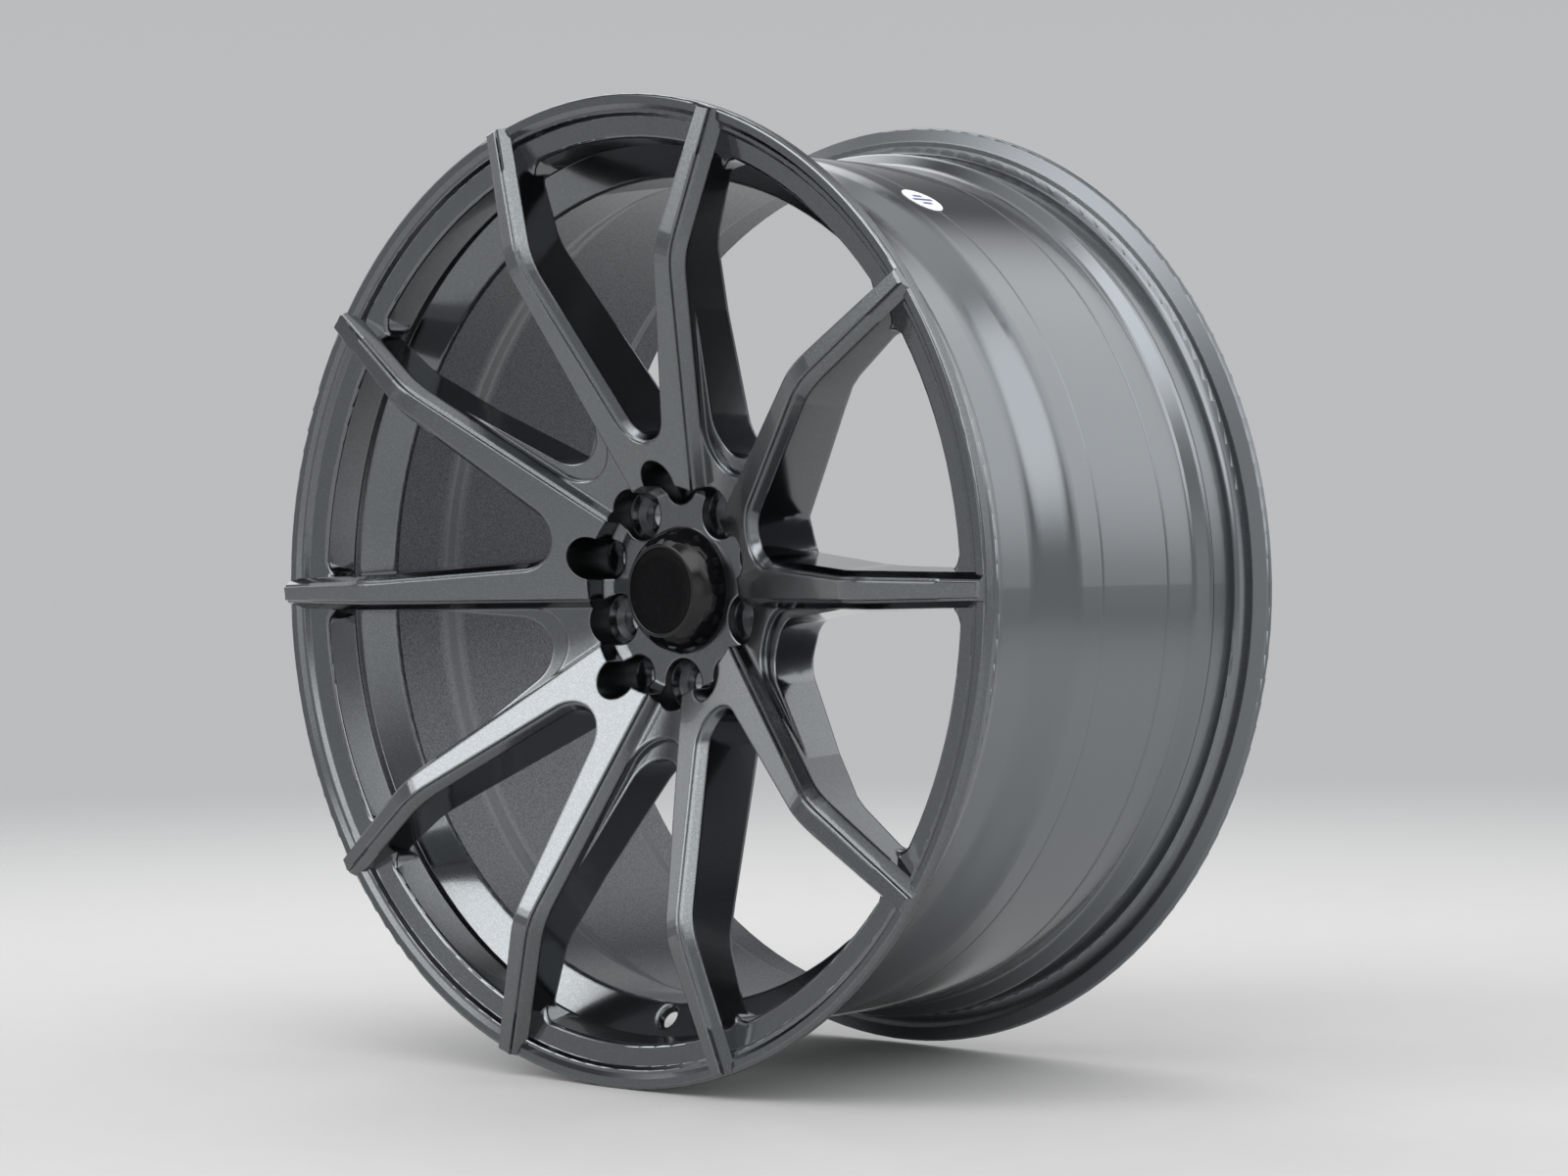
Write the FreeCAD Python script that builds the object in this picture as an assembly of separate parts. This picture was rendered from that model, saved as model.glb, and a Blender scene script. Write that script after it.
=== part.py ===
import FreeCAD, Part
import math
import os

# Ten spoke alloy wheel with a snap-in centre cap, in millimetres.
# The axle runs along Y. The street side faces -Y, the car is towards +Y and Z is up.
# The origin is the centre of the mounting face, where the wheel sits on its hub.
# Angles turn anticlockwise from +X towards +Z, as seen from the street side.

# Rim sizes as the trade states them: 19 inch, 8.5 inch wide, 35 mm offset.
BEAD_SEAT_DIAMETER = 482.6
RIM_WIDTH = 215.9
WHEEL_OFFSET = 35.0
FLANGE_HEIGHT = 17.5
REAR_FLANGE_HEIGHT = 15.6
FRONT_LIP_WIDTH = 9.6
REAR_LIP_WIDTH = 7.9
REAR_LIP_ROUND = 4.0
REAR_EDGE_WIDTH = 4.0
REAR_SHOULDER_HEIGHT = 7.8

# Bead seats, their humps and the barrel between them.
BEAD_SEAT_WIDTH = 20.0
BEAD_SEAT_RISE = 1.7
BEAD_HEEL_ROUND = 5.5
HUMP_HEIGHT = 1.5
HUMP_WIDTH = 4.0
HUMP_ROUND = 2.0
BARREL_WALL = 5.7
BARREL_DROP = 7.3
WELL_DROP = 17.6
WELL_WIDTH = 36.0
WELL_FRONT_RAMP = 9.0
WELL_REAR_RAMP = 19.0
WELL_SHIFT = 2.9
WELL_ROUND = 20.0
REAR_RAMP = 6.0
REAR_RAMP_ROUND = 4.0
TURNED_LINE_DEPTH = 0.6
TURNED_LINE_WIDTH = 1.4
TURNED_LINE_PLACES = (121.0, 174.0)

# Turned rings of the front lip, from the outer edge inwards, and how far each falls back.
EDGE_ROUND = 2.0
OUTER_RING_WIDTH = 5.5
OUTER_RING_FALL = 0.7
RING_BEVEL_WIDTH = 2.3
RING_BEVEL_FALL = 2.0
SECOND_RING_WIDTH = 2.0
LIP_STEP_WIDTH = 1.6
LIP_STEP_FALL = 3.2
LEDGE_WIDTH = 11.3
LEDGE_FALL = 2.5
LEDGE_ROUND = 2.5
RING_ROUND = 0.7
LIP_INNER_TAPER = 2.3
LIP_INNER_DEPTH = 27.0
GROOVE_DEPTH = 2.4
GROOVE_WIDTH = 9.0
GROOVE_SLOPE = 2.5
GROOVE_TAPER = 1.5

# Spokes: five pairs, each pair sharing one flat face that falls towards the hub.
PAIRS = 5
KNEE_RADIUS = 182.0
KNEE_RISE = 12.6
KNEE_BEND = 20.0
KNEE_FACETS = 5
TIP_RISE = 4.2
TIP_INSET = 0.4
TIP_CHAMFER = 1.2
PAD_DEPTH = 40.7
FACE_HALF_VALLEY = 4.15
FACE_HALF_VALLEY_TIP = 3.3
FACE_HALF_WINDOW = 5.2
FACE_HALF_WINDOW_TIP = 3.4
WINDOW_FLARE = 0.067
WINDOW_APEX_RADIUS = 19.2
FACE_EDGE_CHAMFER = 0.4
REBATE_WALL_WIDTH = 0.2
REBATE_DEPTH = 1.8
REBATE_WIDTH = 1.0
REBATE_FALL = 0.2
BEVEL_WIDTH = 3.4
BEVEL_DEPTH = 5.3
WINDOW_DRAFT = 5.5
VALLEY_DRAFT = 3.5
WINDOW_CORNER_RADIUS = 10.0
WINDOW_CORNER_SUNK = 2.5

# Webs in the valleys between the pairs.
WEB_DROP = 9.2
WEB_APEX_RADIUS = 21.5
WEB_OUTER_RADIUS = 130.0
WEB_SUNK = 0.4
VALLEY_LEDGE_DROP = 13.0
VALLEY_LEDGE_END = 170.0
VALLEY_LEDGE_FLARE = 0.062
VALLEY_APEX_RADIUS = 20.0

# Back of the spokes, from the hub out to the rim.
HUB_PAD_RADIUS = 76.5
SPOKE_BACK_HUB_RADIUS = 92.0
SPOKE_BACK_HUB_DEPTH = 66.8
SPOKE_BACK_KNEE_RADIUS = 189.0
SPOKE_BACK_KNEE_DEPTH = 18.4
SPOKE_BACK_RIM_DEPTH = 16.8
SPOKE_BACK_FLAT = 8.0
SPOKE_ROOT_RADIUS = 12.0
SPOKE_TOE_RADIUS = 6.0

# Hub.
HUB_FACE_DEPTH = 56.5
HUB_RECESS_RADIUS = 56.5
HUB_RECESS_CHAMFER = 4.0
CENTRE_BORE_RADIUS = 36.55
CENTRE_BORE_LENGTH = 15.0
CENTRE_BORE_CHAMFER = 1.5
CAP_BORE_RADIUS = 31.0
CAP_GROOVE_DEPTH = 1.4
CAP_GROOVE_WIDTH = 3.4
CAP_GROOVE_BACK = 17.0

# Lug holes: two five hole circles, one in the pads and one in the valleys.
PAD_BOLT_CIRCLE = 114.3
VALLEY_BOLT_CIRCLE = 100.0
PAD_POCKET_RADIUS = 11.4
VALLEY_POCKET_RADIUS = 13.8
LUG_HOLE_RADIUS = 7.25
LUG_SEAT_LEFT = 10.0
LUG_SEAT_HALF_ANGLE = 30.0

# Valve hole, drilled square to the ramp behind the lip.
VALVE_ANGLE = 270.0
VALVE_HOLE_RADIUS = 5.65
VALVE_CHAMFER = 1.6

# Centre cap, its badge and its spring ring.
CAP_FLANGE_RADIUS = 34.0
CAP_FLANGE_EDGE = 1.6
CAP_FLANGE_ROUND = 0.8
CAP_HEIGHT = 16.8
CAP_FRONT_RADIUS = 24.6
CAP_RIM_WIDTH = 1.8
CAP_RIM_INNER_ROUND = 0.6
CAP_RIM_OUTER_ROUND = 0.9
CAP_DISH_DEPTH = 1.9
CAP_WALL = 2.4
CAP_SHOULDER_INSET = 2.4
CAP_SHOULDER_DEPTH = 7.6
CAP_SHOULDER_ROUND = 30.0
LEG_CLEARANCE = 0.3
LEG_WALL = 1.8
LEG_COUNT = 8
LEG_SLOT_WIDTH = 6.0
LEG_HOOK = 1.1
LEG_HOOK_LENGTH = 2.4
HOOK_CLEARANCE = 0.15
BADGE_THICKNESS = 0.8
BADGE_CLEARANCE = 0.15
BADGE_ROUND = 0.35
BADGE_BOWL_RADIUS = 17.5
BADGE_BOWL_DEPTH = 0.7
BADGE_BOWL_ROUND = 40.0
SPRING_WIRE_RADIUS = 0.7
SPRING_GROOVE_DEPTH = 0.5

# Oval paper sticker on the barrel.
STICKER_ANGLE = 59.8
STICKER_PLACE = 120.0
STICKER_HALF_LENGTH = 12.5
STICKER_HALF_WIDTH = 10.5
STICKER_THICKNESS = 0.25

# Places worked out from the sizes above.
ORIGIN = FreeCAD.Vector(0, 0, 0)
AXLE = FreeCAD.Vector(0, -1, 0)
BEAD_SEAT_RADIUS = BEAD_SEAT_DIAMETER / 2
FLANGE_RADIUS = BEAD_SEAT_RADIUS + FLANGE_HEIGHT
FRONT = WHEEL_OFFSET - RIM_WIDTH / 2 - FRONT_LIP_WIDTH
REAR = WHEEL_OFFSET + RIM_WIDTH / 2 + REAR_LIP_WIDTH
HALF_STEP = math.radians(180.0 / (2 * PAIRS))
HUB_FACE = FRONT + HUB_FACE_DEPTH
CAP_GROOVE_FRONT = -CAP_GROOVE_BACK - CAP_GROOVE_WIDTH
REAR_FLANGE_RADIUS = BEAD_SEAT_RADIUS + REAR_FLANGE_HEIGHT
OUTER_RING_RADIUS = FLANGE_RADIUS - OUTER_RING_WIDTH
SECOND_RING_RADIUS = OUTER_RING_RADIUS - RING_BEVEL_WIDTH
STEP_RADIUS = SECOND_RING_RADIUS - SECOND_RING_WIDTH
LEDGE_OUTER_RADIUS = STEP_RADIUS - LIP_STEP_WIDTH
LIP_RADIUS = LEDGE_OUTER_RADIUS - LEDGE_WIDTH
SECOND_RING_Y = FRONT + OUTER_RING_FALL + RING_BEVEL_FALL
LEDGE_FRONT = SECOND_RING_Y + LIP_STEP_FALL
LEDGE_BACK = LEDGE_FRONT + LEDGE_FALL
WELL_RADIUS = BEAD_SEAT_RADIUS - WELL_DROP
BARREL_RADIUS = BEAD_SEAT_RADIUS - BARREL_DROP
LIP_END = FRONT + LIP_INNER_DEPTH
LIP_END_RADIUS = LIP_RADIUS - LIP_INNER_TAPER
HOLLOW_END = LIP_END + GROOVE_WIDTH
HOLLOW_RADIUS = LIP_END_RADIUS - GROOVE_TAPER
WELL_INNER_RADIUS = WELL_RADIUS - BARREL_WALL
WELL_START = HOLLOW_END + WELL_FRONT_RAMP
WELL_END = WELL_START + WELL_WIDTH
FAR = 2 * FLANGE_RADIUS


def rounded_wire(corners):
    """Closed wire through corners of radius, y and rounding, in the half plane at angle 0."""
    count = len(corners)
    points = [FreeCAD.Vector(c[0], c[1], 0) for c in corners]
    spans = []
    for i in range(count):
        here = points[i]
        rounding = corners[i][2] if len(corners[i]) > 2 else 0.0
        if rounding == 0.0:
            spans.append((here, None, here))
            continue
        back = (points[i - 1] - here).normalize()
        ahead = (points[(i + 1) % count] - here).normalize()
        half = back.getAngle(ahead) / 2
        reach = rounding / math.tan(half)
        middle = here + (back + ahead).normalize() * (rounding / math.sin(half) - rounding)
        spans.append((here + back * reach, middle, here + ahead * reach))
    edges = []
    for i in range(count):
        start, middle, end = spans[i]
        if middle is not None:
            edges.append(Part.Arc(start, middle, end).toShape())
        following = spans[(i + 1) % count][0]
        if end.distanceToPoint(following) > 1e-6:
            edges.append(Part.LineSegment(end, following).toShape())
    return Part.Wire(edges)


def spin(corners, start=0.0, sweep=360.0):
    """Solid turned about the axle from a profile of radius, y and rounding."""
    face = Part.Face(rounded_wire(corners))
    face.rotate(ORIGIN, AXLE, start)
    return face.revolve(ORIGIN, AXLE, sweep)


def turned(shape, angle):
    """Copy of a shape turned about the axle."""
    copy = shape.copy()
    copy.rotate(ORIGIN, AXLE, angle)
    return copy


def around(shape, first):
    """Five copies of a shape round the axle, the first of them at an angle."""
    return [turned(shape, first + 360.0 * i / PAIRS) for i in range(PAIRS)]


def turned_line(place):
    """Corners of a fine groove turned round the barrel."""
    y = FRONT + place
    half = TURNED_LINE_WIDTH / 2
    bottom = BARREL_RADIUS - TURNED_LINE_DEPTH
    return [(BARREL_RADIUS, y + half), (bottom, y), (BARREL_RADIUS, y - half)]


def rim():
    """Flanges, bead seats, humps, well and barrel, turned as one ring."""
    groove_radius = LIP_END_RADIUS + GROOVE_DEPTH
    toe_radius = BEAD_SEAT_RADIUS - BEAD_SEAT_RISE
    hump_radius = toe_radius + HUMP_HEIGHT
    barrel_inner = BARREL_RADIUS - BARREL_WALL
    seat_inner = toe_radius - BARREL_WALL
    front_heel = FRONT + FRONT_LIP_WIDTH
    front_toe = front_heel + BEAD_SEAT_WIDTH
    rear_heel = REAR - REAR_LIP_WIDTH
    rear_toe = rear_heel - BEAD_SEAT_WIDTH
    rear_hump = rear_toe - HUMP_WIDTH
    rear_ramp = rear_hump - REAR_RAMP
    well_ramp_end = WELL_END + WELL_REAR_RAMP
    lip = [
        (FLANGE_RADIUS, front_heel - EDGE_ROUND, EDGE_ROUND),
        (FLANGE_RADIUS, FRONT, EDGE_ROUND),
        (OUTER_RING_RADIUS, FRONT + OUTER_RING_FALL),
        (SECOND_RING_RADIUS, SECOND_RING_Y),
        (STEP_RADIUS, SECOND_RING_Y, RING_ROUND),
        (LEDGE_OUTER_RADIUS, LEDGE_FRONT, RING_ROUND),
        (LIP_RADIUS, LEDGE_BACK, LEDGE_ROUND),
        (LIP_END_RADIUS, LIP_END, RING_ROUND),
        (groove_radius, LIP_END + GROOVE_SLOPE, RING_ROUND),
        (groove_radius, HOLLOW_END - GROOVE_SLOPE, RING_ROUND),
        (HOLLOW_RADIUS, HOLLOW_END, RING_ROUND),
    ]
    inside = [
        (WELL_INNER_RADIUS, WELL_START, LEDGE_ROUND),
        (WELL_INNER_RADIUS, WELL_END, WELL_ROUND),
        (barrel_inner, well_ramp_end, WELL_ROUND),
        (barrel_inner, rear_ramp, REAR_RAMP_ROUND),
        (seat_inner, rear_hump + BARREL_WALL),
        (seat_inner, rear_heel),
    ]
    rear = [
        (BEAD_SEAT_RADIUS, REAR, REAR_LIP_ROUND),
        (REAR_FLANGE_RADIUS, REAR, EDGE_ROUND),
        (REAR_FLANGE_RADIUS, REAR - REAR_EDGE_WIDTH, EDGE_ROUND),
        (BEAD_SEAT_RADIUS + REAR_SHOULDER_HEIGHT, rear_heel, EDGE_ROUND),
        (BEAD_SEAT_RADIUS, rear_heel, BEAD_HEEL_ROUND),
        (toe_radius, rear_toe),
        (hump_radius, rear_toe - HUMP_WIDTH / 2, HUMP_ROUND),
        (toe_radius, rear_hump),
        (BARREL_RADIUS, rear_ramp, REAR_RAMP_ROUND),
    ]
    lines = [corner for place in reversed(TURNED_LINE_PLACES) for corner in turned_line(place)]
    outside = [
        (BARREL_RADIUS, well_ramp_end, WELL_ROUND),
        (WELL_RADIUS, WELL_END, WELL_ROUND),
        (WELL_RADIUS, WELL_START + WELL_SHIFT, LEDGE_ROUND),
        (toe_radius, front_toe + HUMP_WIDTH + WELL_SHIFT),
        (hump_radius, front_toe + HUMP_WIDTH / 2, HUMP_ROUND),
        (toe_radius, front_toe),
        (BEAD_SEAT_RADIUS, front_heel, BEAD_HEEL_ROUND),
    ]
    return spin(lip + inside + rear + lines + outside)


# The face of a spoke along its mid line, from the hub to the tip.
PAD_Y = FRONT + PAD_DEPTH
KNEE_Y = FRONT - KNEE_RISE
TIP_RADIUS = FLANGE_RADIUS - TIP_INSET
FACE_SLOPE = (PAD_Y - KNEE_Y) / (KNEE_RADIUS - HUB_RECESS_RADIUS)
CROSS_SLOPE = FACE_SLOPE * math.tan(HALF_STEP)
TIP_Y = FRONT - TIP_RISE
TIP_SLOPE = (TIP_Y - KNEE_Y) / (TIP_RADIUS - KNEE_RADIUS)
KNEE_START = KNEE_RADIUS - KNEE_BEND / 2
KNEE_END = KNEE_RADIUS + KNEE_BEND / 2
SPOKE_END_RADIUS = FLANGE_RADIUS + FRONT_LIP_WIDTH
EDGE_BANDS = (
    (FACE_EDGE_CHAMFER, FACE_EDGE_CHAMFER),
    (REBATE_WALL_WIDTH, REBATE_DEPTH),
    (REBATE_WIDTH, REBATE_FALL),
    (BEVEL_WIDTH, BEVEL_DEPTH),
)
EDGE_LEVELS = [(0.0, 0.0)]
for band_width, band_depth in EDGE_BANDS:
    EDGE_LEVELS.append((EDGE_LEVELS[-1][0] + band_width, EDGE_LEVELS[-1][1] + band_depth))
WALL_GROW = EDGE_LEVELS[-1][0]
BLOCK_BACK = HUB_RECESS_CHAMFER
BLOCK_START_RADIUS = CAP_BORE_RADIUS


def face_y(radius):
    """Face height on a spoke's mid line: two straight runs with a bend between them."""
    if radius >= KNEE_END:
        return KNEE_Y + TIP_SLOPE * (radius - KNEE_RADIUS)
    bend = max(0.0, radius - KNEE_START)
    turn = (TIP_SLOPE + FACE_SLOPE) * bend * bend / (2 * KNEE_BEND)
    return KNEE_Y + FACE_SLOPE * (KNEE_RADIUS - radius) + turn


def beside_spoke(radius, offset):
    """Plan point (along, across) beside the spoke at half a step from the middle line of its pair."""
    along = radius * math.cos(HALF_STEP) - offset * math.sin(HALF_STEP)
    across = radius * math.sin(HALF_STEP) + offset * math.cos(HALF_STEP)
    return along, across


def valley_half(radius):
    """Half width of the face on the side of the valley."""
    share = max(0.0, radius - KNEE_END) / (TIP_RADIUS - KNEE_END)
    return FACE_HALF_VALLEY + (FACE_HALF_VALLEY_TIP - FACE_HALF_VALLEY) * share


def window_half(radius):
    """Half width of the face on the side of the pair's own window."""
    if radius <= KNEE_START:
        return FACE_HALF_WINDOW + WINDOW_FLARE * (KNEE_START - radius)
    share = (radius - KNEE_START) / (TIP_RADIUS - KNEE_START)
    return FACE_HALF_WINDOW + (FACE_HALF_WINDOW_TIP - FACE_HALF_WINDOW) * share


def lifted(radius, offset, depth):
    """Point of a spoke's surface, some depth behind the face."""
    along, across = beside_spoke(radius, offset)
    return FreeCAD.Vector(along, face_y(radius) + CROSS_SLOPE * offset + depth, across)


def tangent_arc(first, second, radius):
    """Centre and touching point of an arc that rounds the corner of a line with its mirror image.

    The line runs through two plan points, and the mirror is the middle line across = 0.
    """
    along = second[0] - first[0]
    across = second[1] - first[1]
    length = math.hypot(along, across)
    along /= length
    across /= length
    crossing = first[0] - first[1] * along / across
    centre = crossing + radius / across
    touch = (centre - radius * across, radius * along)
    return centre, touch


WINDOW_LINE = [beside_spoke(r, -window_half(r)) for r in (HUB_RECESS_RADIUS, KNEE_START)]
WINDOW_CENTRE = tangent_arc(*WINDOW_LINE, WINDOW_APEX_RADIUS)[0]
STATIONS = [KNEE_START + KNEE_BEND * i / KNEE_FACETS for i in range(KNEE_FACETS + 1)]
STATIONS.append(SPOKE_END_RADIUS)


def pair_level(grow, depth, flat=None):
    """Edges of a pair's outline, moved out by grow and back by depth.

    A flat height carries the outline on down the drafted walls to that height.
    """
    fall = FACE_SLOPE / math.cos(HALF_STEP)
    window_draft = math.tan(math.radians(WINDOW_DRAFT))
    valley_draft = math.tan(math.radians(VALLEY_DRAFT))

    def place(radius, offset, draft):
        point = lifted(radius, offset, depth)
        if flat is not None:
            along, across = beside_spoke(radius, offset + draft * (flat - point.y))
            point = FreeCAD.Vector(along, flat, across)
        return point

    def in_valley(radius):
        return place(radius, valley_half(radius) + grow, valley_draft)

    def in_window(radius):
        return place(radius, -window_half(radius) - grow, -window_draft)

    upper = [in_valley(BLOCK_START_RADIUS)]
    upper += [in_valley(radius) for radius in STATIONS]
    upper += [in_window(radius) for radius in reversed(STATIONS)]
    first = in_window(HUB_RECESS_RADIUS)
    second = upper[-1]
    slant = math.atan2(second.z - first.z, second.x - first.x)
    radius = WINDOW_APEX_RADIUS - grow * math.cos(slant - HALF_STEP)
    if flat is not None:
        radius -= window_draft * (flat - face_y(0) - depth + fall * (WINDOW_CENTRE - radius))
    centre = tangent_arc((first.x, first.z), (second.x, second.z), radius)[0]
    rounded = []
    for i in range(9):
        angle = (math.pi / 2 + slant) + (math.pi - 2 * slant) * i / 8
        along = centre + radius * math.cos(angle)
        y = face_y(0) + depth - fall * along if flat is None else flat
        rounded.append(FreeCAD.Vector(along, y, radius * math.sin(angle)))
    upper.append(rounded[0])
    lower = [FreeCAD.Vector(p.x, p.y, -p.z) for p in reversed(upper)]
    apex = Part.BSplineCurve()
    apex.interpolate(rounded)
    corners = upper + lower
    edges = []
    for i in range(len(corners)):
        start = corners[i]
        end = corners[(i + 1) % len(corners)]
        if i == len(upper) - 1:
            edges.append(apex.toShape())
        else:
            edges.append(Part.LineSegment(start, end).toShape())
    return corners, edges


def flat_face(points):
    """Flat face through points."""
    return Part.Face(Part.makePolygon(points + [points[0]]))


def spoke_pair():
    """Two spokes and the pad between them, with stepped and bevelled edges, as one block."""
    levels = [pair_level(grow, depth) for grow, depth in EDGE_LEVELS]
    levels.append(pair_level(*EDGE_LEVELS[-1], BLOCK_BACK))
    corners, edges = levels[0]
    last = len(corners) - 1
    around_apex = len(corners) // 2 - 1
    faces = []
    for i in range(1, len(STATIONS)):
        j = around_apex - i
        strip = (i, i + 1, j - 1, j)
        faces.append(flat_face([corners[k] for k in strip]))
        faces.append(flat_face([corners[last - k] for k in strip]))
    knee = Part.LineSegment(corners[1], corners[around_apex - 1]).toShape()
    knee_lower = Part.LineSegment(corners[last - around_apex + 1], corners[last - 1]).toShape()
    inner = [edges[0], knee, edges[around_apex - 1], edges[around_apex], edges[around_apex + 1]]
    inner += [knee_lower, edges[last - 1], edges[last]]
    faces.append(Part.Face(Part.Wire(inner)))
    for above, below in zip(levels, levels[1:]):
        for i in range(len(corners)):
            j = (i + 1) % len(corners)
            if i == around_apex:
                faces.append(Part.makeRuledSurface(above[1][i], below[1][i]))
            else:
                faces.append(flat_face([above[0][i], above[0][j], below[0][j], below[0][i]]))
    faces.append(Part.Face(Part.Wire(levels[-1][1])))
    shell = Part.Shell(faces)
    shell.sewShape()
    block = Part.Solid(shell)
    if block.Volume < 0:
        block.reverse()
    return block


def upright_block(edges):
    """Block with a plan outline, from well in front of the wheel to behind its hub."""
    face = Part.Face(Part.Wire(edges))
    face.translate(FreeCAD.Vector(0, -FAR, 0))
    return face.extrude(FreeCAD.Vector(0, 2 * FAR, 0))


def plan_edges(points, arc_after=None, arc_middle=None):
    """Closed plan outline of straight runs, with one of them bent into an arc."""
    flat = [FreeCAD.Vector(p[0], 0, p[1]) for p in points]
    edges = []
    for i in range(len(flat)):
        end = flat[(i + 1) % len(flat)]
        if i == arc_after:
            middle = FreeCAD.Vector(arc_middle[0], 0, arc_middle[1])
            edges.append(Part.Arc(flat[i], middle, end).toShape())
        else:
            edges.append(Part.LineSegment(flat[i], end).toShape())
    return edges


def mirrored(points):
    """Plan points with their mirror images, in order round an outline that starts and ends at the middle."""
    return points + [(p[0], -p[1]) for p in reversed(points)]


def valley_sector(drop, outer):
    """Sector between two pairs, with a cone some way behind the faces for its front."""
    half = math.degrees(HALF_STEP)
    corners = [
        (BLOCK_START_RADIUS, face_y(BLOCK_START_RADIUS) + drop),
        (outer, face_y(outer) + drop),
        (outer, BLOCK_BACK),
        (BLOCK_START_RADIUS, BLOCK_BACK),
    ]
    return spin(corners, -half, 2 * half)


def wall_offset(radius):
    """Distance from a spoke's mid line to its deep wall in the valley."""
    return valley_half(radius) + WALL_GROW


def saddle():
    """Upper web of a valley: its rounded edge runs into the walls of the spokes."""
    line = [beside_spoke(r, -wall_offset(r)) for r in (HUB_PAD_RADIUS, VALLEY_LEDGE_END)]
    centre, touch = tangent_arc(*line, WEB_APEX_RADIUS)
    inside = (touch[0] - WEB_SUNK * math.sin(HALF_STEP), touch[1] + WEB_SUNK * math.cos(HALF_STEP))
    ahead = beside_spoke(VALLEY_LEDGE_END, WEB_SUNK - wall_offset(VALLEY_LEDGE_END))
    outline = mirrored([touch, inside, ahead])
    cut = plan_edges(outline, len(outline) - 1, (centre - WEB_APEX_RADIUS, 0.0))
    return valley_sector(WEB_DROP, WEB_OUTER_RADIUS).cut(upright_block(cut))


def valley_ledge():
    """Lower web of a valley: a ledge beside each spoke that narrows to nothing, round a drafted window."""
    draft = math.tan(math.radians(VALLEY_DRAFT))
    reference = face_y(WEB_OUTER_RADIUS) + VALLEY_LEDGE_DROP
    wires = []
    for y in (FRONT - FRONT_LIP_WIDTH, BLOCK_BACK):
        shift = draft * (y - reference)
        line = []
        for radius in (HUB_PAD_RADIUS, VALLEY_LEDGE_END):
            flare = VALLEY_LEDGE_FLARE * (VALLEY_LEDGE_END - radius)
            line.append(beside_spoke(radius, -wall_offset(radius) - flare - shift))
        rounding = VALLEY_APEX_RADIUS - shift
        centre, touch = tangent_arc(*line, rounding)
        outline = mirrored([touch, line[1], beside_spoke(SPOKE_END_RADIUS, 0.0)])
        wire = Part.Wire(plan_edges(outline, len(outline) - 1, (centre - rounding, 0.0)))
        wire.translate(FreeCAD.Vector(0, y, 0))
        wires.append(wire)
    return valley_sector(VALLEY_LEDGE_DROP, KNEE_START).cut(Part.makeLoft(wires, True, True))


def behind_ledge():
    """Everything behind the cone of the lip's ledge, which is carried on towards the axle."""
    reach = 2 * WINDOW_CORNER_RADIUS
    slope = LEDGE_FALL / LEDGE_WIDTH
    return spin([
        (LIP_RADIUS - reach, LEDGE_BACK + slope * reach),
        (LEDGE_OUTER_RADIUS, LEDGE_FRONT),
        (LEDGE_OUTER_RADIUS, BLOCK_BACK),
        (LIP_RADIUS - reach, BLOCK_BACK),
    ])


def window_corner(offset_at):
    """Fillet block in the corner of a window, between a spoke's wall and the lip."""
    near = beside_spoke(KNEE_END, offset_at(KNEE_END))
    far = beside_spoke(TIP_RADIUS, offset_at(TIP_RADIUS))
    along = FreeCAD.Vector(far[0] - near[0], 0, far[1] - near[1]).normalize()
    out = FreeCAD.Vector(-along.z, 0, along.x)
    if offset_at(TIP_RADIUS) < 0:
        out = out * -1
    start = FreeCAD.Vector(near[0], 0, near[1]) + out * WINDOW_CORNER_RADIUS
    reach = LIP_RADIUS - WINDOW_CORNER_RADIUS
    ahead = start.dot(along)
    travel = -ahead + math.sqrt(ahead * ahead - start.dot(start) + reach * reach)
    centre = start + along * travel
    on_wall = centre - out * WINDOW_CORNER_RADIUS
    sunk_radius = LIP_RADIUS + LEDGE_ROUND + WINDOW_CORNER_SUNK
    on_lip = centre * (LIP_RADIUS / reach)
    in_lip = centre * (sunk_radius / reach)
    in_spoke = on_wall - out * (LEDGE_ROUND + WINDOW_CORNER_SUNK)
    in_both = in_spoke + along * (sunk_radius - in_spoke.dot(along))
    middle = centre + (along - out).normalize() * WINDOW_CORNER_RADIUS
    edges = [
        Part.Arc(on_wall, middle, on_lip).toShape(),
        Part.LineSegment(on_lip, in_lip).toShape(),
        Part.LineSegment(in_lip, in_both).toShape(),
        Part.LineSegment(in_both, in_spoke).toShape(),
        Part.LineSegment(in_spoke, on_wall).toShape(),
    ]
    block = upright_block(edges).common(behind_ledge())
    walls = [face for face in block.Faces if isinstance(face.Surface, Part.Cylinder)]
    fronts = [face for face in block.Faces if isinstance(face.Surface, Part.Cone)]
    front_edges = [edge for face in fronts for edge in face.Edges]
    brims = [edge for edge in walls[0].Edges if any(edge.isSame(other) for other in front_edges)]
    return block.makeFillet(LEDGE_ROUND, brims)


def window_corners():
    """Four corner fillets of one pair: two in its own window and two in the valleys beside it."""
    blocks = []
    for offset_at in (wall_offset, lambda radius: -window_half(radius) - WALL_GROW):
        block = window_corner(offset_at)
        blocks.append(block)
        blocks.append(block.mirror(ORIGIN, FreeCAD.Vector(0, 0, 1)))
    return blocks


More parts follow.
